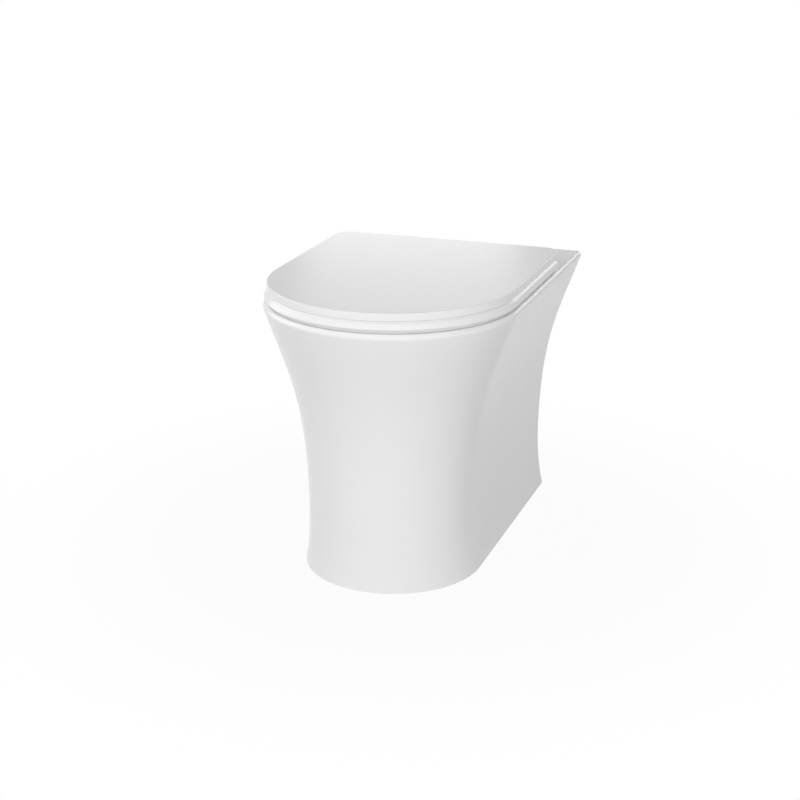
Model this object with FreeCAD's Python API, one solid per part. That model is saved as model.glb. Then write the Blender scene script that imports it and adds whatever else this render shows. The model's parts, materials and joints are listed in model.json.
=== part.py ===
"""Floor-standing back-to-wall toilet pan with a slim soft-close seat and lid.

The china is cast in five pieces that are joined before firing: skirt, rim, bowl, trap and inlet.
X is across, +Y points to the wall, +Z is up. The origin is on the floor, halfway between nose and wall.
Depths are given as reach, the distance from the wall towards the front. All lengths are in millimetres.
"""
import FreeCAD, Part
import math
import os
from FreeCAD import Vector

# Outside of the china. The rim is the widest level, and each lower level is set in from it.
RIM_HEIGHT = 403.0
RIM_HALF_WIDTH = 187.5
RIM_REACH = 554.0
RIM_EDGE_RADIUS = 6.0
FLANK_REACH = 371.0
COLLAR_DROP = 53.0
COLLAR_SIDE_INSET = 19.0
COLLAR_NOSE_INSET = 16.0
SHOULDER_DROP = 105.0
SHOULDER_SIDE_INSET = 37.4
SHOULDER_NOSE_INSET = 31.0
CALF_HEIGHT = 204.0
CALF_SIDE_INSET = 57.9
CALF_NOSE_INSET = 47.8
WAIST_HEIGHT = 105.0
WAIST_SIDE_INSET = 64.3
WAIST_NOSE_INSET = 54.5
ANKLE_HEIGHT = 45.0
ANKLE_SIDE_INSET = 62.1
ANKLE_NOSE_INSET = 55.8
ANKLE_FLANK_REACH = 368.0
FOOT_SIDE_INSET = 54.3
FOOT_NOSE_INSET = 56.0
FOOT_FLANK_REACH = 361.0

# Walls of the china.
SKIRT_WALL = 11.0
DECK_THICKNESS = 14.0
BOWL_WALL = 10.0

# Inside of the bowl, ellipses from the rim down to the bottom of the sump.
RIM_LANDING_SIDE = 49.4
RIM_LANDING_FRONT = 42.0
BOWL_MOUTH_REAR = 170.0
BOWL_LIP_RADIUS = 7.0
BELLY_DROP = 90.0
BELLY_SIDE_INSET = 16.0
BELLY_FRONT_INSET = 36.0
BELLY_REAR_INSET = 20.0
WATER_HEIGHT = 205.0
WATER_HALF_WIDTH = 68.0
WATER_FRONT_OUTSET = 42.0
WATER_REAR_OUTSET = 14.0
SUMP_HEIGHT = 80.0
SUMP_HALF_WIDTH = 38.0
SUMP_FRONT = 330.0
SUMP_REAR = 250.0
SUMP_CORNER_RADIUS = 22.0

# Trap, outlet spigot and flush inlet.
TRAP_RADIUS = 27.5
TRAP_WALL = 8.5
TRAP_BEND_INSIDE = 2.0
TRAP_ENTRY_RISE = 32.0
TRAP_HEEL_RUN = 42.0
TRAP_CLIMB_RUN = 51.0
TRAP_DROP_RUN = 62.0
TRAP_DROP = 71.0
OUTLET_HEIGHT = 185.0
OUTLET_RADIUS = 51.0
OUTLET_MOUTH_RADIUS = 43.0
OUTLET_END_REACH = 40.0
OUTLET_LENGTH = 48.0
INLET_DROP = 68.0
INLET_RADIUS = 27.5
INLET_WALL = 9.0
INLET_END_REACH = 40.0
INLET_LENGTH = 62.0
INLET_JET_RADIUS = 18.0

# Seat and lid, stacked on the rim. The seat is set in from the rim, and the lid from the seat.
# The seat's edge is widest at the beam, slopes in to the shoulder and the top, and is undercut below.
SEAT_LIFT = 0.8
SEAT_THICKNESS = 16.7
SEAT_SIDE_INSET = 2.5
SEAT_NOSE_INSET = 1.5
SEAT_UNDER_INSET = 6.0
SEAT_BEAM_RISE = 6.5
SEAT_SHOULDER_RISE = 13.4
SEAT_SHOULDER_INSET = 3.3
SEAT_TOP_INSET = 6.5
SEAT_CREASE_RADIUS = 1.2
SEAT_REAR_OUTSET = 26.0
SEAT_CORNER_RADIUS = 14.0
SEAT_RING_SIDE = 72.8
SEAT_RING_FRONT = 82.0
SEAT_HOLE_MIDDLE = 345.0
SEAT_HOLE_REAR = 222.0
SEAT_HOLE_RADIUS = 6.0
SEAT_HOLE_UNDER_RADIUS = 3.0
LID_GAP = 0.5
LID_THICKNESS = 11.6
LID_SIDE_INSET = 4.6
LID_NOSE_INSET = 4.6
LID_EDGE_RADIUS = 2.0
LID_UNDER_RADIUS = 0.8
LID_TOP_WALL = 4.6
LID_SIDE_WALL = 8.0
LID_REAR_OUTSET = 11.6
LID_CORNER_RADIUS = 24.0

# Buffers.
BUFFER_RADIUS = 7.0
BUFFER_SOCKET_DEPTH = 2.0
BUFFER_REST_GAP = 0.1
SEAT_BUFFER_INSET = 24.0
SEAT_BUFFER_REAR_REACH = 190.0
LID_BUFFER_INSET = 30.0
LID_BUFFER_REAR_REACH = 170.0
LID_BOSS_RADIUS = 10.0
BUFFER_FRONT_ANGLE = 35.0

# Hinges. The two blocks are alike and stand on the deck behind the lid.
HINGE_SPACING = 155.0
HINGE_REACH = 100.0
AXIS_RISE = 18.2
BLOCK_WIDTH = 30.0
BARREL_RADIUS = 7.0
BLOCK_FOOT_DEPTH = 18.0
BASE_WIDTH = 36.0
BASE_FRONT = 10.0
BASE_REAR = 16.0
BASE_THICKNESS = 2.8
BASE_CORNER_RADIUS = 5.0
GASKET_THICKNESS = 1.2
GASKET_INSET = 1.0
EYE_RADIUS = 7.5
EYE_WIDTH = 13.0
EYE_SIDE_GAP = 0.5
EYE_END_WALL = 1.5
DAMPER_RADIUS = 5.2
DAMPER_LENGTH = 22.0
SHAFT_RADIUS = 3.0
SHAFT_FLAT_WIDTH = 4.4
SHAFT_GRIP_DEPTH = 16.0
PIN_GRIP_DEPTH = 7.0
BUSH_WALL = 1.4
END_GAP = 0.5
RUNNING_GAP = 0.05
FIXED_GAP = 0.02

# Stud, insert, washers and wing nut that clamp each hinge through the deck.
STUD_RADIUS = 4.0
STUD_LENGTH = 68.0
INSERT_RADIUS = 6.0
INSERT_LENGTH = 7.5
DECK_HOLE_RADIUS = 8.0
CONE_FLANGE_RADIUS = 14.0
CONE_FLANGE_THICKNESS = 7.0
CONE_NECK_LENGTH = 6.0
CONE_NECK_WALL = 2.2
WASHER_RADIUS = 12.0
WASHER_THICKNESS = 1.6
NUT_RADIUS = 8.5
NUT_LENGTH = 11.0
WING_SPAN = 34.0
WING_HEIGHT = 16.0
WING_THICKNESS = 3.6
WING_CORNER_RADIUS = 5.0
STUD_GAP = 0.15

# Values worked out from the sizes above.
WALL_Y = RIM_REACH / 2
HINGE_Y = WALL_Y - HINGE_REACH
AXIS_Z = RIM_HEIGHT + AXIS_RISE
SEAT_Z = RIM_HEIGHT + SEAT_LIFT
SEAT_TOP = SEAT_Z + SEAT_THICKNESS
LID_Z = SEAT_TOP + LID_GAP
LID_TOP = LID_Z + LID_THICKNESS
DECK_UNDER = RIM_HEIGHT - DECK_THICKNESS
SEAT_HALF_WIDTH = RIM_HALF_WIDTH - SEAT_SIDE_INSET
SEAT_NOSE_REACH = RIM_REACH - SEAT_NOSE_INSET
LID_HALF_WIDTH = SEAT_HALF_WIDTH - LID_SIDE_INSET
LID_NOSE_REACH = SEAT_NOSE_REACH - LID_NOSE_INSET
SEAT_HOLE_HALF_WIDTH = SEAT_HALF_WIDTH - SEAT_RING_SIDE
SEAT_HOLE_FRONT = SEAT_NOSE_REACH - SEAT_RING_FRONT
SEAT_REAR_REACH = HINGE_REACH + SEAT_REAR_OUTSET
LID_REAR_REACH = HINGE_REACH + LID_REAR_OUTSET
BOWL_MOUTH_HALF_WIDTH = RIM_HALF_WIDTH - RIM_LANDING_SIDE
BOWL_MOUTH_FRONT = RIM_REACH - RIM_LANDING_FRONT
BELLY_REAR = BOWL_MOUTH_REAR + BELLY_REAR_INSET
TRAP_BEND_RADIUS = TRAP_RADIUS + TRAP_WALL + TRAP_BEND_INSIDE
TRAP_ENTRY_HEIGHT = SUMP_HEIGHT + TRAP_ENTRY_RISE
TRAP_HEEL_REACH = SUMP_REAR - TRAP_HEEL_RUN
TRAP_CROWN_REACH = TRAP_HEEL_REACH - TRAP_CLIMB_RUN
TRAP_FALL_REACH = TRAP_CROWN_REACH - TRAP_DROP_RUN
INLET_HEIGHT = RIM_HEIGHT - INLET_DROP
BLOCK_Z = RIM_HEIGHT + GASKET_THICKNESS + BASE_THICKNESS
EYE_START = BLOCK_WIDTH / 2 + EYE_SIDE_GAP
OVERCUT = 2.0
EDGE_TOLERANCE = 1e-4
HINGE_SIDES = {"left": -HINGE_SPACING / 2, "right": HINGE_SPACING / 2}
SKIRT_LEVELS = [
    (0.0, FOOT_SIDE_INSET, FOOT_NOSE_INSET, FOOT_FLANK_REACH),
    (ANKLE_HEIGHT, ANKLE_SIDE_INSET, ANKLE_NOSE_INSET, ANKLE_FLANK_REACH),
    (WAIST_HEIGHT, WAIST_SIDE_INSET, WAIST_NOSE_INSET, FLANK_REACH),
    (CALF_HEIGHT, CALF_SIDE_INSET, CALF_NOSE_INSET, FLANK_REACH),
    (RIM_HEIGHT - SHOULDER_DROP, SHOULDER_SIDE_INSET, SHOULDER_NOSE_INSET, FLANK_REACH),
    (RIM_HEIGHT - COLLAR_DROP, COLLAR_SIDE_INSET, COLLAR_NOSE_INSET, FLANK_REACH),
    (RIM_HEIGHT, 0.0, 0.0, FLANK_REACH),
]
SEAT_LEVELS = [
    (SEAT_Z, SEAT_UNDER_INSET),
    (SEAT_Z + SEAT_BEAM_RISE, 0.0),
    (SEAT_Z + SEAT_SHOULDER_RISE, SEAT_SHOULDER_INSET),
    (SEAT_TOP, SEAT_TOP_INSET),
]
BOWL_LEVELS = [
    (RIM_HEIGHT + OVERCUT, BOWL_MOUTH_HALF_WIDTH, BOWL_MOUTH_FRONT, BOWL_MOUTH_REAR),
    (RIM_HEIGHT - BELLY_DROP, BOWL_MOUTH_HALF_WIDTH - BELLY_SIDE_INSET,
     BOWL_MOUTH_FRONT - BELLY_FRONT_INSET, BELLY_REAR),
    (WATER_HEIGHT, WATER_HALF_WIDTH, SUMP_FRONT + WATER_FRONT_OUTSET, SUMP_REAR - WATER_REAR_OUTSET),
]


def at(x, reach, z):
    """Point at a distance from the wall."""
    return Vector(x, WALL_Y - reach, z)


def line(start, end):
    return Part.LineSegment(start, end).toShape()


def half_ellipse(half_width, middle, front, z):
    """Half ellipse from the right side, round the front, to the left side, as one smooth curve."""
    corner = math.sqrt(0.5)
    poles = [at(half_width, middle, z), at(half_width, front, z), at(0, front, z),
             at(-half_width, front, z), at(-half_width, middle, z)]
    curve = Part.BSplineCurve()
    curve.buildFromPolesMultsKnots(poles, [3, 2, 3], [0, 1, 2], False, 2, [1, corner, 1, corner, 1])
    return curve.toShape()


def oval_wire(half_width, front, middle, rear, z):
    """Closed oval made of two half ellipses that share one middle line."""
    back = half_ellipse(-half_width, middle, rear, z)
    return Part.Wire([half_ellipse(half_width, middle, front, z), back])


def pan_wire(half_width, front, flank, z):
    """D outline of the china: straight flanks that run past the wall, and a half-ellipse front."""
    corners = [at(-half_width, flank, z), at(-half_width, -OVERCUT, z),
               at(half_width, -OVERCUT, z), at(half_width, flank, z)]
    sides = [line(a, b) for a, b in zip(corners, corners[1:])]
    return Part.Wire([half_ellipse(half_width, flank, front, z)] + sides)


def seat_wire(half_width, nose, rear, corner, z):
    """D outline of the seat and lid: semicircular front and rounded rear corners."""
    middle = nose - half_width
    slant = corner * (1 - math.sqrt(0.5))
    front = Part.Arc(at(half_width, middle, z), at(0, nose, z), at(-half_width, middle, z)).toShape()
    left = line(at(-half_width, middle, z), at(-half_width, rear + corner, z))
    turn_left = Part.Arc(at(-half_width, rear + corner, z), at(slant - half_width, rear + slant, z),
                         at(corner - half_width, rear, z)).toShape()
    back = line(at(corner - half_width, rear, z), at(half_width - corner, rear, z))
    turn_right = Part.Arc(at(half_width - corner, rear, z), at(half_width - slant, rear + slant, z),
                          at(half_width, rear + corner, z)).toShape()
    right = line(at(half_width, rear + corner, z), at(half_width, middle, z))
    return Part.Wire([front, left, turn_left, back, turn_right, right])


def extrude(wire, height):
    return Part.Face(wire).extrude(Vector(0, 0, height))


def upright(radius, height, x, y, z):
    """Cylinder that stands on z."""
    return Part.makeCylinder(radius, height, Vector(x, y, z))


def crosswise(radius, length, x):
    """Cylinder on the hinge axis, from x towards +X."""
    return Part.makeCylinder(radius, length, Vector(x, HINGE_Y, AXIS_Z), Vector(1, 0, 0))


def backwards(radius, length, reach, z):
    """Cylinder that runs from a reach towards the wall."""
    return Part.makeCylinder(radius, length, at(0, reach, z), Vector(0, 1, 0))


def edges_at_height(shape, z):
    """Level edges of a shape at one height."""
    low, high = z - EDGE_TOLERANCE, z + EDGE_TOLERANCE
    return [e for e in shape.Edges if e.BoundBox.ZMin > low and e.BoundBox.ZMax < high]


def mouth_edges(shape, z, half_width, rear):
    """Level edges round a hole of a given half width whose rear end is at a given reach."""
    y_limit = WALL_Y - rear + OVERCUT
    return [e for e in edges_at_height(shape, z)
            if e.BoundBox.XMax < half_width + OVERCUT and e.BoundBox.YMax < y_limit]


def flat_path(points, radius):
    """Path of straight runs in the middle plane, joined by tangent arcs of one radius."""
    edges = []
    start = points[0]
    for before, corner, after in zip(points, points[1:], points[2:]):
        into = (corner - before).normalize()
        out = (after - corner).normalize()
        half_turn = into.getAngle(out) / 2
        run = radius * math.tan(half_turn)
        inward = (out - into).normalize()
        middle = corner + inward * (radius / math.cos(half_turn) - radius)
        edges.append(line(start, corner - into * run))
        start = corner + out * run
        edges.append(Part.Arc(corner - into * run, middle, start).toShape())
    edges.append(line(start, points[-1]))
    return Part.Wire(edges)


def tube_along(path, radius):
    first = path.OrderedEdges[0]
    start = first.valueAt(first.FirstParameter)
    ring = Part.Wire(Part.makeCircle(radius, start, first.tangentAt(first.FirstParameter)))
    return path.makePipeShell([ring], True, True)


def room(low, high):
    """Space in front of the wall, between two heights and wider than the china."""
    half = RIM_HALF_WIDTH + OVERCUT
    return Part.makeBox(2 * half, RIM_REACH + OVERCUT, high - low, Vector(-half, -WALL_Y - OVERCUT, low))


def skirt_form(inset):
    """The outside form of the china, or the same form set in by a wall, run past the wall."""
    wires = [pan_wire(RIM_HALF_WIDTH - side - inset, RIM_REACH - nose - inset, flank, z)
             for z, side, nose, flank in SKIRT_LEVELS]
    return Part.makeLoft(wires, True)


def pan_skirt():
    """Flared outer wall with a rounded rim edge, open at the top, below and at the wall."""
    block = skirt_form(0.0).common(room(0.0, RIM_HEIGHT))
    rim = [e for e in edges_at_height(block, RIM_HEIGHT) if e.BoundBox.YMin < WALL_Y - OVERCUT]
    return block.makeFillet(RIM_EDGE_RADIUS, rim).cut(skirt_form(SKIRT_WALL))


def pan_rim():
    """Rim and deck: a plate inside the skirt, open for the bowl and drilled for the hinge studs."""
    plate = skirt_form(SKIRT_WALL).common(room(DECK_UNDER, RIM_HEIGHT))
    holes = [upright(DECK_HOLE_RADIUS, DECK_THICKNESS, x, HINGE_Y, DECK_UNDER) for x in HINGE_SIDES.values()]
    return plate.cut([bowl_form(BOWL_WALL)] + holes)


def bowl_form(grow):
    """Bowl and sump as a solid form that rises past the rim, grown by a wall for the outside."""
    floor = SUMP_HEIGHT - grow
    levels = BOWL_LEVELS + [(floor, SUMP_HALF_WIDTH, SUMP_FRONT, SUMP_REAR)]
    wires = [oval_wire(width + grow, front + grow, (front + rear) / 2, rear - grow, z)
             for z, width, front, rear in levels]
    form = Part.makeLoft(wires, True)
    return form.makeFillet(SUMP_CORNER_RADIUS + grow, edges_at_height(form, floor))


def pan_bowl():
    """Bowl and sump, open to the trap and to the flush jet, with a rounded lip."""
    bowl = bowl_form(BOWL_WALL).common(room(0.0, RIM_HEIGHT))
    bowl = bowl.cut([bowl_form(0.0), tube_along(trap_path(), TRAP_RADIUS), inlet_jet()])
    lip = mouth_edges(bowl, RIM_HEIGHT, BOWL_MOUTH_HALF_WIDTH, BOWL_MOUTH_REAR)
    return bowl.makeFillet(BOWL_LIP_RADIUS, lip)


def trap_path():
    """Middle line of the trap: back from the sump, up over the crown and down to the outlet."""
    sump_middle = (SUMP_FRONT + SUMP_REAR) / 2
    points = [at(0, sump_middle, TRAP_ENTRY_HEIGHT), at(0, TRAP_HEEL_REACH, TRAP_ENTRY_HEIGHT),
              at(0, TRAP_CROWN_REACH, OUTLET_HEIGHT + TRAP_DROP), at(0, TRAP_FALL_REACH, OUTLET_HEIGHT),
              at(0, OUTLET_END_REACH, OUTLET_HEIGHT)]
    return flat_path(points, TRAP_BEND_RADIUS)


def pan_trap():
    """Trap from the bowl's outside to the outlet spigot, which is flared inside."""
    path = trap_path()
    spigot_start = OUTLET_END_REACH + OUTLET_LENGTH
    mouth = OUTLET_LENGTH / 2
    spigot = backwards(OUTLET_RADIUS, OUTLET_LENGTH, spigot_start, OUTLET_HEIGHT)
    cone = Part.makeCone(TRAP_RADIUS, OUTLET_MOUTH_RADIUS, mouth, at(0, spigot_start, OUTLET_HEIGHT),
                         Vector(0, 1, 0))
    return tube_along(path, TRAP_RADIUS + TRAP_WALL).fuse(spigot).cut([
        bowl_form(BOWL_WALL),
        tube_along(path, TRAP_RADIUS),
        cone,
        backwards(OUTLET_MOUTH_RADIUS, mouth, OUTLET_END_REACH + mouth, OUTLET_HEIGHT),
    ])


def inlet_jet():
    """Way of the flush water from the end of the inlet's bore into the bowl."""
    start = BELLY_REAR + BOWL_WALL
    return backwards(INLET_JET_RADIUS, start - INLET_END_REACH - INLET_LENGTH, start, INLET_HEIGHT)


def pan_inlet():
    """Flush inlet behind the bowl, bored for the flush cone."""
    pipe = backwards(INLET_RADIUS + INLET_WALL, BELLY_REAR - INLET_END_REACH, BELLY_REAR, INLET_HEIGHT)
    bore = backwards(INLET_RADIUS, INLET_LENGTH, INLET_END_REACH + INLET_LENGTH, INLET_HEIGHT)
    return pipe.cut([bowl_form(BOWL_WALL), bore, inlet_jet()])


def d_points(half_width, nose, inset, rear_reach):
    """Four places on a D, set in from its edge: two on the front curve and two near the rear."""
    radius = half_width - inset
    turn = math.radians(BUFFER_FRONT_ANGLE)
    x_front = radius * math.sin(turn)
    front = nose - half_width + radius * math.cos(turn)
    return [(side * x, reach) for side in (-1, 1) for x, reach in ((x_front, front), (radius, rear_reach))]


def seat_buffer_places():
    return d_points(SEAT_HALF_WIDTH, SEAT_NOSE_REACH, SEAT_BUFFER_INSET, SEAT_BUFFER_REAR_REACH)


def lid_buffer_places():
    return d_points(LID_HALF_WIDTH, LID_NOSE_REACH, LID_BUFFER_INSET, LID_BUFFER_REAR_REACH)


def side_start(x, side):
    """Inner end of the eye on one side of a hinge block, and the far end, as a low and a high X."""
    low = x + EYE_START if side > 0 else x - EYE_START - EYE_WIDTH
    return low, low + EYE_WIDTH


def eye(x, side, root, low, high):
    """Hinge eye on an arm that starts at a reach inside the rear edge, between two heights."""
    start, end = side_start(x, side)
    corners = [at(start, root, low), at(start, root, high),
               Vector(start, HINGE_Y, min(high, AXIS_Z + EYE_RADIUS)),
               Vector(start, HINGE_Y, max(low, AXIS_Z - EYE_RADIUS))]
    arm = Part.Face(Part.makePolygon(corners + corners[:1])).extrude(Vector(end - start, 0, 0))
    return arm.fuse(crosswise(EYE_RADIUS, end - start, start))


def shaft_form(x, gap):
    """Damper shaft of the block at x: round in the damper, with two flats in the eye."""
    face = x + BLOCK_WIDTH / 2
    start = face - SHAFT_GRIP_DEPTH + END_GAP
    end = x + EYE_START + EYE_WIDTH - EYE_END_WALL
    round_bar = crosswise(SHAFT_RADIUS + gap, end + gap - start, start)
    flat_run = end + gap - x - EYE_START
    half = SHAFT_FLAT_WIDTH / 2 + gap
    slab = Part.makeBox(flat_run, 2 * EYE_RADIUS, EYE_RADIUS,
                        Vector(x + EYE_START, HINGE_Y - EYE_RADIUS, AXIS_Z))
    above = slab.translated(Vector(0, 0, half))
    below = slab.translated(Vector(0, 0, -half - EYE_RADIUS))
    return round_bar.cut([above, below])


def bush_ends(x):
    """X range of the bush in the eye on the plain side of the block at x."""
    start, end = side_start(x, -1)
    return start + EYE_END_WALL, end


def bush_form(x, gap):
    start, end = bush_ends(x)
    return crosswise(SHAFT_RADIUS + RUNNING_GAP + BUSH_WALL + gap, end - start, start)


def pivot_bush(x):
    start, end = bush_ends(x)
    return bush_form(x, 0.0).cut(crosswise(SHAFT_RADIUS + RUNNING_GAP, end - start, start))


def pivot_pin(x, gap):
    """Plain pin of the block at x, fixed in the block and running in the bush."""
    start = bush_ends(x)[0] + END_GAP
    end = x - BLOCK_WIDTH / 2 + PIN_GRIP_DEPTH
    return crosswise(SHAFT_RADIUS + gap, end - start, start)


def seat_ring():
    """Slim ring with two eyes behind it, sockets for its buffers, and a rounded hole."""
    outlines = [seat_wire(SEAT_HALF_WIDTH - inset, SEAT_NOSE_REACH - inset, SEAT_REAR_REACH + inset,
                          SEAT_CORNER_RADIUS - inset, z) for z, inset in SEAT_LEVELS]
    ring = Part.makeLoft(outlines, True, True)
    creases = [e for z, _ in SEAT_LEVELS for e in edges_at_height(ring, z)]
    ring = ring.makeFillet(SEAT_CREASE_RADIUS, creases)
    hole = oval_wire(SEAT_HOLE_HALF_WIDTH, SEAT_HOLE_FRONT, SEAT_HOLE_MIDDLE, SEAT_HOLE_REAR, SEAT_Z)
    ring = ring.cut(extrude(hole, SEAT_THICKNESS))
    for z, radius in ((SEAT_TOP, SEAT_HOLE_RADIUS), (SEAT_Z, SEAT_HOLE_UNDER_RADIUS)):
        ring = ring.makeFillet(radius, mouth_edges(ring, z, SEAT_HOLE_HALF_WIDTH, SEAT_HOLE_REAR))
    low = SEAT_Z + SEAT_BEAM_RISE
    root = SEAT_REAR_REACH + SEAT_TOP_INSET + OVERCUT
    eyes = [eye(HINGE_SIDES[name], side, root, low, SEAT_TOP) for name, side in (("right", 1), ("left", -1))]
    ring = ring.fuse(eyes)
    sockets = [upright(BUFFER_RADIUS, BUFFER_SOCKET_DEPTH, x, WALL_Y - reach, SEAT_Z)
               for x, reach in seat_buffer_places()]
    bores = [shaft_form(HINGE_SIDES["right"], FIXED_GAP), bush_form(HINGE_SIDES["left"], FIXED_GAP)]
    return ring.cut(sockets + bores)


def lid():
    """Slim lid with a dished underside, buffer bosses and two eyes behind it."""
    outline = seat_wire(LID_HALF_WIDTH, LID_NOSE_REACH, LID_REAR_REACH, LID_CORNER_RADIUS, LID_Z)
    cover = extrude(outline, LID_THICKNESS)
    cover = cover.makeFillet(LID_EDGE_RADIUS, edges_at_height(cover, LID_TOP))
    cover = cover.makeFillet(LID_UNDER_RADIUS, edges_at_height(cover, LID_Z))
    dish = seat_wire(LID_HALF_WIDTH - LID_SIDE_WALL, LID_NOSE_REACH - LID_SIDE_WALL,
                     LID_REAR_REACH + LID_SIDE_WALL, LID_CORNER_RADIUS - LID_SIDE_WALL, LID_Z)
    cover = cover.cut(extrude(dish, LID_THICKNESS - LID_TOP_WALL))
    places = [(x, WALL_Y - reach) for x, reach in lid_buffer_places()]
    bosses = [upright(LID_BOSS_RADIUS, LID_THICKNESS - LID_TOP_WALL / 2, x, y, LID_Z) for x, y in places]
    high = LID_TOP - LID_EDGE_RADIUS - LID_UNDER_RADIUS
    root = LID_REAR_REACH + OVERCUT
    eyes = [eye(HINGE_SIDES[name], side, root, LID_Z, high) for name, side in (("right", -1), ("left", 1))]
    cover = cover.fuse(bosses + eyes)
    sockets = [upright(BUFFER_RADIUS, BUFFER_SOCKET_DEPTH, x, y, LID_Z) for x, y in places]
    bores = [shaft_form(HINGE_SIDES["left"], FIXED_GAP), bush_form(HINGE_SIDES["right"], FIXED_GAP)]
    return cover.cut(sockets + bores)


def buffers(places, rest, socket):
    """Rubber pads that stand in sockets and reach down to just above what they rest on."""
    start = rest + BUFFER_REST_GAP
    height = socket + BUFFER_SOCKET_DEPTH - start
    return [upright(BUFFER_RADIUS - FIXED_GAP, height, x, WALL_Y - reach, start) for x, reach in places]


def hinge_block(x):
    """Barrel on a tapered pillar, with bores for the damper, the pin and the stud insert."""
    start = x - BLOCK_WIDTH / 2
    half = BLOCK_FOOT_DEPTH / 2
    corners = [Vector(start, HINGE_Y - half, BLOCK_Z), Vector(start, HINGE_Y + half, BLOCK_Z),
               Vector(start, HINGE_Y + BARREL_RADIUS, AXIS_Z),
               Vector(start, HINGE_Y - BARREL_RADIUS, AXIS_Z)]
    pillar = Part.Face(Part.makePolygon(corners + corners[:1])).extrude(Vector(BLOCK_WIDTH, 0, 0))
    body = pillar.fuse(crosswise(BARREL_RADIUS, BLOCK_WIDTH, start))
    return body.cut([
        crosswise(DAMPER_RADIUS, DAMPER_LENGTH, x + BLOCK_WIDTH / 2 - DAMPER_LENGTH),
        pivot_pin(x, FIXED_GAP),
        upright(INSERT_RADIUS, INSERT_LENGTH, x, HINGE_Y, BLOCK_Z),
    ])


def damper(x):
    """Soft-close cartridge in the barrel, bored for its shaft."""
    face = x + BLOCK_WIDTH / 2
    body = crosswise(DAMPER_RADIUS - FIXED_GAP, DAMPER_LENGTH - FIXED_GAP, face - DAMPER_LENGTH + FIXED_GAP)
    return body.cut(crosswise(SHAFT_RADIUS + RUNNING_GAP, SHAFT_GRIP_DEPTH, face - SHAFT_GRIP_DEPTH))


def stud_hole(x, z, height):
    return upright(STUD_RADIUS + STUD_GAP, height, x, HINGE_Y, z)


def base_plate(x, inset, z, thickness):
    """Rounded plate under the block at x, with a hole for the stud."""
    half = BASE_WIDTH / 2 - inset
    depth = BASE_FRONT + BASE_REAR - 2 * inset
    plate = Part.makeBox(2 * half, depth, thickness, Vector(x - half, HINGE_Y - BASE_FRONT + inset, z))
    uprights = [e for e in plate.Edges if abs(e.BoundBox.ZLength - thickness) < EDGE_TOLERANCE]
    return plate.makeFillet(BASE_CORNER_RADIUS - inset, uprights).cut(stud_hole(x, z, thickness))


def hinge_base(x):
    return base_plate(x, 0.0, RIM_HEIGHT + GASKET_THICKNESS, BASE_THICKNESS)


def base_gasket(x):
    return base_plate(x, GASKET_INSET, RIM_HEIGHT, GASKET_THICKNESS)


def stud_insert(x):
    body = upright(INSERT_RADIUS - FIXED_GAP, INSERT_LENGTH - FIXED_GAP, x, HINGE_Y, BLOCK_Z)
    return body.cut(stud_hole(x, BLOCK_Z, INSERT_LENGTH))


def hinge_stud(x):
    top = BLOCK_Z + INSERT_LENGTH - END_GAP
    return upright(STUD_RADIUS, STUD_LENGTH, x, HINGE_Y, top - STUD_LENGTH)


def cone_washer(x):
    """Rubber bush whose tapered neck centres the stud in the deck hole."""
    start = DECK_UNDER - CONE_FLANGE_THICKNESS
    flange = upright(CONE_FLANGE_RADIUS, CONE_FLANGE_THICKNESS, x, HINGE_Y, start)
    neck = Part.makeCone(DECK_HOLE_RADIUS - STUD_GAP, STUD_RADIUS + CONE_NECK_WALL, CONE_NECK_LENGTH,
                         Vector(x, HINGE_Y, DECK_UNDER))
    bore = stud_hole(x, start, CONE_FLANGE_THICKNESS + CONE_NECK_LENGTH)
    return flange.fuse(neck).cut(bore)


def steel_washer(x):
    z = DECK_UNDER - CONE_FLANGE_THICKNESS - WASHER_THICKNESS
    return upright(WASHER_RADIUS, WASHER_THICKNESS, x, HINGE_Y, z).cut(stud_hole(x, z, WASHER_THICKNESS))


def wing_nut(x):
    top = DECK_UNDER - CONE_FLANGE_THICKNESS - WASHER_THICKNESS
    hub = upright(NUT_RADIUS, NUT_LENGTH, x, HINGE_Y, top - NUT_LENGTH)
    wing_z = top - NUT_LENGTH / 2 - WING_HEIGHT
    wings = Part.makeBox(WING_SPAN, WING_THICKNESS, WING_HEIGHT,
                         Vector(x - WING_SPAN / 2, HINGE_Y - WING_THICKNESS / 2, wing_z))
    ends = [e for e in wings.Edges if abs(e.BoundBox.YLength - WING_THICKNESS) < EDGE_TOLERANCE]
    wings = wings.makeFillet(WING_CORNER_RADIUS, ends)
    return hub.fuse(wings).cut(stud_hole(x, wing_z, top - wing_z))


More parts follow.
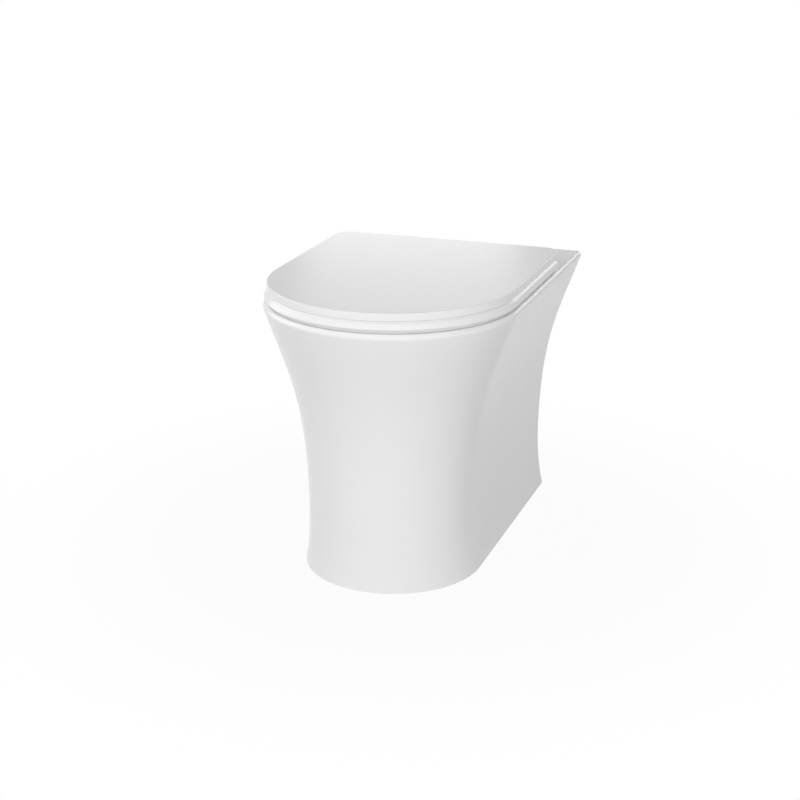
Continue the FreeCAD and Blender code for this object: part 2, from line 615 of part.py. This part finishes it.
def nodes():
    """Every piece by name. A list holds alike pieces that share a node."""
    left, right = HINGE_SIDES["left"], HINGE_SIDES["right"]
    both = (left, right)
    return {
        "pan_skirt": pan_skirt(),
        "pan_rim": pan_rim(),
        "pan_bowl": pan_bowl(),
        "pan_trap": pan_trap(),
        "pan_inlet": pan_inlet(),
        "seat_ring": seat_ring(),
        "lid": lid(),
        "seat_buffers": buffers(seat_buffer_places(), RIM_HEIGHT, SEAT_Z),
        "lid_buffers": buffers(lid_buffer_places(), SEAT_TOP, LID_Z),
        "hinge_block_left": hinge_block(left),
        "hinge_block_right": hinge_block(right),
        "seat_damper": damper(right),
        "seat_damper_shaft": shaft_form(right, 0.0),
        "lid_damper": damper(left),
        "lid_damper_shaft": shaft_form(left, 0.0),
        "seat_pivot_pin": pivot_pin(left, 0.0),
        "seat_pivot_bush": pivot_bush(left),
        "lid_pivot_pin": pivot_pin(right, 0.0),
        "lid_pivot_bush": pivot_bush(right),
        "hinge_bases": [hinge_base(x) for x in both],
        "base_gaskets": [base_gasket(x) for x in both],
        "stud_inserts": [stud_insert(x) for x in both],
        "hinge_studs": [hinge_stud(x) for x in both],
        "cone_washers": [cone_washer(x) for x in both],
        "steel_washers": [steel_washer(x) for x in both],
        "wing_nuts": [wing_nut(x) for x in both],
    }


def main():
    os.makedirs("parts", exist_ok=True)
    for name, made in nodes().items():
        pieces = made if isinstance(made, list) else [made]
        solids = [solid for piece in pieces for solid in piece.Solids]
        shape = solids[0] if len(solids) == 1 else Part.makeCompound(solids)
        print(name, len(solids), shape.isValid(), round(shape.Volume))
        shape.exportStep(f"parts/{name}.step")


main()
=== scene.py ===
"""Looks of the back-to-wall toilet: finishes, studio light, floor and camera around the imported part.

Lengths are in metres in the part's own frame: X across, +Y to the wall, +Z up, floor at zero.
Azimuths are in degrees: 0 is in front of the part, 90 on its right. Colours are linear.
"""
import bpy
import json
import math
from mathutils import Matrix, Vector
from typing import NamedTuple


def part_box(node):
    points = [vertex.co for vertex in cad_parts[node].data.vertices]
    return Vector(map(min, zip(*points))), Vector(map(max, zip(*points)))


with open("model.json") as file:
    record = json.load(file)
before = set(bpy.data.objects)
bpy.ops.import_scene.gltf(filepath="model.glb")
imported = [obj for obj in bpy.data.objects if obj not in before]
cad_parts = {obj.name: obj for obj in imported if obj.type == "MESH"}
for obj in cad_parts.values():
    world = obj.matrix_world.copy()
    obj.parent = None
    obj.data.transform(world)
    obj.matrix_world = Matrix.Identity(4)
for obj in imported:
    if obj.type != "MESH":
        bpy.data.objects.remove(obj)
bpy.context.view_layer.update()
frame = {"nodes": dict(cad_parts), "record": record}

# Camera, solved from the outlines in the photograph.
CAMERA_PLACE = (0.7702, -2.2311, 1.0312)
CAMERA_AZIMUTH = 19.553
CAMERA_ELEVATION = 18.96
CAMERA_LENS = 74.13

# World: a white background, and the grey light that the sky gives to matt surfaces.
BACKGROUND_COLOUR = (1.0, 1.0, 1.0, 1.0)
BACKGROUND_LIGHT = 1.0
SKY_LIGHT = 0.18

# Floor. It shows pure white far from the object, and a little less of it near, where the shadow stays.
FLOOR_SIZE = 60.0
FLOOR_COLOUR = (0.5, 0.5, 0.5, 1.0)
FLOOR_NEAR = 0.25
FLOOR_FAR = 0.75
FLOOR_WHITE_NEAR = 0.95

# Dark cloth above the object.
FLAG_COLOUR = (0.04, 0.04, 0.04, 1.0)
FLAG_HALF_WIDTH = 2.2
FLAG_FRONT = -2.0
FLAG_BACK = 2.4
FLAG_HEIGHT = 3.0

# Point that the soft boxes face.
LIGHT_TARGET = (0.0, -0.05, 0.25)
# Soft boxes: name, azimuth, elevation, distance, width, height, power in watts, and whether it is mirrored.
LAMPS = [
    ("front", 30.0, 22.0, 3.8, 5.0, 3.6, 132.0, False),
    ("left_front", -55.0, 22.0, 3.6, 2.6, 2.4, 36.0, False),
    ("left_side", -95.0, 22.0, 3.6, 2.4, 2.4, 33.0, True),
    ("behind_high", 180.0, 40.0, 3.6, 2.4, 1.6, 14.0, True),
    ("behind_right", 163.0, 15.0, 3.5, 1.0, 0.9, 5.5, True),
    ("behind_left", -161.0, 12.0, 3.7, 0.8, 0.6, 2.6, True),
]

# The glaze runs in over the open back of the skirt, has faded out a little deeper, and ends unevenly.
GLAZE_RUN_IN = 0.03
GLAZE_FADED = 0.055
GLAZE_UNEVEN = 0.03
GLAZE_BORDER_SCALE = 14.0
GLAZE_BORDER_DETAIL = 3.0

# Points inside the skirt and over the bowl, by their height above the node's top.
# They tell the inside of the china from the outside, and the second pair says which side is left bare.
SKIRT_CENTRE_RISE = -0.2
BOWL_CENTRE_RISE = 0.1
BARE_INSIDE = -1.0
BARE_OUTSIDE = 1.0


class Look(NamedTuple):
    """Numbers of one finish. Three noises vary its colour, its roughness and its relief.

    The colour goes from deep to pale, and the roughness through its range. A noise is finer at a larger
    scale, and drawn out along an axis whose stretch is below 1.
    """
    deep: tuple
    pale: tuple
    roughness: tuple
    tone_scale: float
    gloss_scale: float
    relief_scale: float
    relief_height: float
    relief_strength: float
    tone_detail: float = 2.0
    gloss_detail: float = 2.0
    relief_detail: float = 2.0
    stretch: tuple = (1.0, 1.0, 1.0)
    ior: float = 1.5
    metallic: float = 0.0


# White glaze, with a faint ripple where it ran.
CHINA = Look(
    deep=(0.86, 0.86, 0.86, 1.0), pale=(0.88, 0.88, 0.88, 1.0), roughness=(0.18, 0.25),
    tone_scale=5.0, gloss_scale=30.0, relief_scale=55.0, relief_detail=1.0,
    relief_height=0.0002, relief_strength=0.08, ior=1.45)
# Fired china without glaze.
BISCUIT = CHINA._replace(
    deep=(0.74, 0.71, 0.65, 1.0), pale=(0.82, 0.79, 0.73, 1.0), roughness=(0.75, 0.9),
    tone_scale=18.0, tone_detail=4.0, gloss_scale=300.0, relief_scale=700.0, relief_detail=3.0)
# Moulded resin, a little softer in gloss than the glaze.
SEAT_RESIN = Look(
    deep=(0.86, 0.86, 0.86, 1.0), pale=(0.88, 0.88, 0.88, 1.0), roughness=(0.2, 0.27),
    tone_scale=7.0, gloss_scale=60.0, relief_scale=900.0,
    relief_height=0.00005, relief_strength=0.06, ior=1.45)
BUFFER_RUBBER = Look(
    deep=(0.76, 0.76, 0.75, 1.0), pale=(0.82, 0.82, 0.81, 1.0), roughness=(0.65, 0.85),
    tone_scale=400.0, tone_detail=3.0, gloss_scale=900.0, relief_scale=2500.0,
    relief_height=0.00008, relief_strength=0.3)
SEAL_RUBBER = BUFFER_RUBBER._replace(deep=(0.045, 0.045, 0.045, 1.0), pale=(0.075, 0.075, 0.075, 1.0))
HINGE_PLASTIC = Look(
    deep=(0.8, 0.8, 0.8, 1.0), pale=(0.84, 0.84, 0.84, 1.0), roughness=(0.28, 0.36),
    tone_scale=60.0, gloss_scale=500.0, relief_scale=3000.0,
    relief_height=0.00004, relief_strength=0.2, ior=1.47)
DAMPER_PLASTIC = HINGE_PLASTIC._replace(
    deep=(0.27, 0.28, 0.29, 1.0), pale=(0.33, 0.34, 0.35, 1.0), roughness=(0.45, 0.6))
NUT_PLASTIC = HINGE_PLASTIC._replace(
    deep=(0.71, 0.71, 0.7, 1.0), pale=(0.78, 0.78, 0.77, 1.0), roughness=(0.4, 0.55))
# Metals, with fine marks along the axis on which the noise is drawn out.
STEEL = Look(
    deep=(0.55, 0.55, 0.56, 1.0), pale=(0.68, 0.68, 0.69, 1.0), roughness=(0.2, 0.38),
    tone_scale=300.0, tone_detail=3.0, gloss_scale=600.0, gloss_detail=3.0, relief_scale=1500.0,
    relief_height=0.00003, relief_strength=0.25, stretch=(0.06, 1.0, 1.0), metallic=1.0)
BRASS = STEEL._replace(
    deep=(0.66, 0.49, 0.21, 1.0), pale=(0.78, 0.6, 0.29, 1.0), stretch=(1.0, 1.0, 0.06))

# Finish of each material slot in the record. The china is made by a function of its own.
LOOKS = {
    "seat_resin": SEAT_RESIN,
    "buffer_rubber": BUFFER_RUBBER,
    "hinge_plastic": HINGE_PLASTIC,
    "damper_plastic": DAMPER_PLASTIC,
    "steel": STEEL,
    "seal_rubber": SEAL_RUBBER,
    "brass": BRASS,
    "nut_plastic": NUT_PLASTIC,
}


def direction(azimuth, elevation):
    """Unit vector from the object towards a place in the studio."""
    a = math.radians(azimuth)
    e = math.radians(elevation)
    return Vector((math.sin(a) * math.cos(e), -math.cos(a) * math.cos(e), math.sin(e)))


class Finish:
    """A principled material, made from object-space noise."""

    def __init__(self, name):
        self.material = bpy.data.materials.new(name)
        self.material.use_nodes = True
        self.nodes = self.material.node_tree.nodes
        self.links = self.material.node_tree.links
        self.shader = self.nodes["Principled BSDF"]
        coordinates = self.nodes.new("ShaderNodeTexCoord")
        self.place = coordinates.outputs["Object"]
        self.normal = coordinates.outputs["Normal"]

    def feed(self, socket, source):
        """Sets a socket to a number or a vector, or links it to another node."""
        if isinstance(source, bpy.types.NodeSocket):
            self.links.new(source, socket)
        else:
            socket.default_value = source

    def vector(self, operation, first, second):
        node = self.nodes.new("ShaderNodeVectorMath")
        node.operation = operation
        self.feed(node.inputs[0], first)
        self.feed(node.inputs[1], second)
        return node.outputs["Value" if operation == "DOT_PRODUCT" else "Vector"]

    def value(self, operation, first, second):
        node = self.nodes.new("ShaderNodeMath")
        node.operation = operation
        self.feed(node.inputs[0], first)
        self.feed(node.inputs[1], second)
        return node.outputs["Value"]

    def noise(self, scale, detail, stretch=(1.0, 1.0, 1.0)):
        texture = self.nodes.new("ShaderNodeTexNoise")
        texture.inputs["Scale"].default_value = scale
        texture.inputs["Detail"].default_value = detail
        self.links.new(self.vector("MULTIPLY", self.place, stretch), texture.inputs["Vector"])
        return texture.outputs["Fac"]

    def ramp(self, source, first, second):
        """Colour that goes from the first to the second."""
        node = self.nodes.new("ShaderNodeMixRGB")
        self.feed(node.inputs["Fac"], source)
        self.feed(node.inputs["Color1"], first)
        self.feed(node.inputs["Color2"], second)
        return node.outputs["Color"]

    def spread(self, source, low, high, reach=(0.0, 1.0)):
        """Number that goes from low to high while the source goes through its reach."""
        node = self.nodes.new("ShaderNodeMapRange")
        self.feed(node.inputs["Value"], source)
        self.feed(node.inputs["From Min"], reach[0])
        self.feed(node.inputs["From Max"], reach[1])
        self.feed(node.inputs["To Min"], low)
        self.feed(node.inputs["To Max"], high)
        return node.outputs["Result"]

    def surface(self, look):
        """Colour, roughness and relief of a look."""
        tone = self.noise(look.tone_scale, look.tone_detail, look.stretch)
        gloss = self.noise(look.gloss_scale, look.gloss_detail, look.stretch)
        relief = self.noise(look.relief_scale, look.relief_detail, look.stretch)
        return self.ramp(tone, look.deep, look.pale), self.spread(gloss, *look.roughness), relief

    def done(self, look, colour, roughness, relief):
        """Links a surface to the shader, and gives the material back."""
        bump = self.nodes.new("ShaderNodeBump")
        bump.inputs["Distance"].default_value = look.relief_height
        bump.inputs["Strength"].default_value = look.relief_strength
        self.links.new(relief, bump.inputs["Height"])
        self.links.new(bump.outputs["Normal"], self.shader.inputs["Normal"])
        self.links.new(colour, self.shader.inputs["Base Color"])
        self.links.new(roughness, self.shader.inputs["Roughness"])
        self.shader.inputs["IOR"].default_value = look.ior
        self.shader.inputs["Metallic"].default_value = look.metallic
        return self.material


def middle(node, rise):
    """Point on a node's upright centre line, this far above its top."""
    low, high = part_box(node)
    return ((low[0] + high[0]) / 2, (low[1] + high[1]) / 2, high[2] + rise)


def unglazed(f, centre, side):
    """Share of bare biscuit, on the side of a wall that faces away from a centre or towards it."""
    facing = f.vector("DOT_PRODUCT", f.vector("SUBTRACT", f.place, centre), f.normal)
    hidden = f.value("GREATER_THAN", f.value("MULTIPLY", facing, side), 0.0)
    forward = f.vector("DOT_PRODUCT", f.place, (0.0, -1.0, 0.0))
    border = f.spread(f.noise(GLAZE_BORDER_SCALE, GLAZE_BORDER_DETAIL), -GLAZE_UNEVEN, GLAZE_UNEVEN)
    back = -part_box("pan_skirt")[1][1]
    fade = (back + GLAZE_RUN_IN, back + GLAZE_FADED)
    return f.value("MULTIPLY", hidden, f.spread(f.value("ADD", forward, border), 0.0, 1.0, fade))


def china(name, bare=None):
    """Glazed china, with biscuit on a side that is left bare."""
    f = Finish(name)
    colour, roughness, relief = f.surface(CHINA)
    if bare:
        share = unglazed(f, *bare)
        bare_colour, bare_roughness, bare_relief = f.surface(BISCUIT)
        colour = f.ramp(share, colour, bare_colour)
        roughness = f.spread(share, roughness, bare_roughness)
        relief = f.spread(share, relief, bare_relief)
    return f.done(CHINA, colour, roughness, relief)


def plain(name, look):
    """Finish that is the same all over a piece."""
    f = Finish(name)
    return f.done(look, *f.surface(look))


def dress():
    """Gives every node the finish of its slot. The skirt's inside and the bowl's outside are unglazed."""
    by_slot = {"china": china("china")}
    for slot_name, look in LOOKS.items():
        by_slot[slot_name] = plain(slot_name, look)
    by_node = {
        "pan_skirt": china("china_skirt", (middle("pan_skirt", SKIRT_CENTRE_RISE), BARE_INSIDE)),
        "pan_bowl": china("china_bowl", (middle("pan_bowl", BOWL_CENTRE_RISE), BARE_OUTSIDE)),
    }
    for row in frame["record"]["subparts"]:
        node = frame["nodes"][row["node"]]
        for slot in node.material_slots:
            slot.material = by_node.get(row["node"], by_slot[row["material_slot"]])


def seen_directly(tree):
    """Value that is 1 for camera, glossy and transmission rays, and 0 for light off matt surfaces."""
    path = tree.nodes.new("ShaderNodeLightPath")
    seen = path.outputs["Is Camera Ray"]
    for ray in ("Is Glossy Ray", "Is Transmission Ray"):
        either = tree.nodes.new("ShaderNodeMath")
        either.operation = "MAXIMUM"
        tree.links.new(seen, either.inputs[0])
        tree.links.new(path.outputs[ray], either.inputs[1])
        seen = either.outputs["Value"]
    return seen


def studio_world():
    """White where it is seen, and a plain grey light everywhere else."""
    world = bpy.data.worlds.new("studio")
    world.use_nodes = True
    tree = world.node_tree
    background = tree.nodes["Background"]
    strength = tree.nodes.new("ShaderNodeMapRange")
    strength.inputs["To Min"].default_value = SKY_LIGHT
    strength.inputs["To Max"].default_value = BACKGROUND_LIGHT
    background.inputs["Color"].default_value = BACKGROUND_COLOUR
    tree.links.new(seen_directly(tree), strength.inputs["Value"])
    tree.links.new(strength.outputs["Result"], background.inputs["Strength"])
    bpy.context.scene.world = world


def matt(name, colour):
    """Material without gloss."""
    material = bpy.data.materials.new(name)
    material.use_nodes = True
    shader = material.node_tree.nodes["Principled BSDF"]
    shader.inputs["Base Color"].default_value = colour
    shader.inputs["Roughness"].default_value = 1.0
    return material


def floor_material():
    """Matt floor that shows white, and keeps a share of the object's shadow."""
    material = matt("floor", FLOOR_COLOUR)
    tree = material.node_tree
    shader = tree.nodes["Principled BSDF"]
    shader.inputs["Specular IOR Level"].default_value = 0.0
    white = tree.nodes.new("ShaderNodeEmission")
    place = tree.nodes.new("ShaderNodeTexCoord")
    distance = tree.nodes.new("ShaderNodeVectorMath")
    distance.operation = "LENGTH"
    fade = tree.nodes.new("ShaderNodeMapRange")
    fade.interpolation_type = "SMOOTHSTEP"
    fade.inputs["From Min"].default_value = FLOOR_NEAR
    fade.inputs["From Max"].default_value = FLOOR_FAR
    fade.inputs["To Min"].default_value = FLOOR_WHITE_NEAR
    share = tree.nodes.new("ShaderNodeMath")
    share.operation = "MULTIPLY"
    mix = tree.nodes.new("ShaderNodeMixShader")
    tree.links.new(place.outputs["Object"], distance.inputs[0])
    tree.links.new(distance.outputs["Value"], fade.inputs["Value"])
    tree.links.new(seen_directly(tree), share.inputs[0])
    tree.links.new(fade.outputs["Result"], share.inputs[1])
    tree.links.new(share.outputs["Value"], mix.inputs["Fac"])
    tree.links.new(shader.outputs["BSDF"], mix.inputs[1])
    tree.links.new(white.outputs["Emission"], mix.inputs[2])
    tree.links.new(mix.outputs["Shader"], tree.nodes["Material Output"].inputs["Surface"])
    return material


def sheet(name, left, right, front, back, height, material):
    """Level piece of the studio with four corners."""
    corners = [(left, front, height), (right, front, height), (right, back, height), (left, back, height)]
    mesh = bpy.data.meshes.new(name)
    mesh.from_pydata(corners, [], [(0, 1, 2, 3)])
    mesh.materials.append(material)
    obj = bpy.data.objects.new(name, mesh)
    bpy.context.scene.collection.objects.link(obj)


def studio_floor():
    half = FLOOR_SIZE / 2
    sheet("floor", -half, half, -half, half, 0.0, floor_material())


def flag():
    """Dark cloth out of the frame. It keeps the sky's light off the lid."""
    cloth = matt("flag", FLAG_COLOUR)
    sheet("flag_above", -FLAG_HALF_WIDTH, FLAG_HALF_WIDTH, FLAG_FRONT, FLAG_BACK, FLAG_HEIGHT, cloth)


def lamp(name, azimuth, elevation, distance, width, height, power, mirrored):
    """Soft box that faces the object. A box that isn't mirrored lights the white and leaves no highlight."""
    data = bpy.data.lights.new(name, "AREA")
    data.shape = "RECTANGLE"
    data.size = width
    data.size_y = height
    data.energy = power
    obj = bpy.data.objects.new(name, data)
    towards = direction(azimuth, elevation)
    obj.location = Vector(LIGHT_TARGET) + towards * distance
    obj.rotation_euler = towards.to_track_quat("Z", "Y").to_euler()
    obj.visible_glossy = mirrored
    bpy.context.scene.collection.objects.link(obj)


def camera():
    data = bpy.data.cameras.new("camera")
    data.lens = CAMERA_LENS
    obj = bpy.data.objects.new("camera", data)
    obj.location = CAMERA_PLACE
    back = direction(CAMERA_AZIMUTH, CAMERA_ELEVATION)
    obj.rotation_euler = back.to_track_quat("Z", "Y").to_euler()
    bpy.context.scene.collection.objects.link(obj)
    bpy.context.scene.camera = obj


def main():
    bpy.context.scene.view_settings.view_transform = "Standard"
    dress()
    studio_world()
    studio_floor()
    flag()
    for row in LAMPS:
        lamp(*row)
    camera()


main()
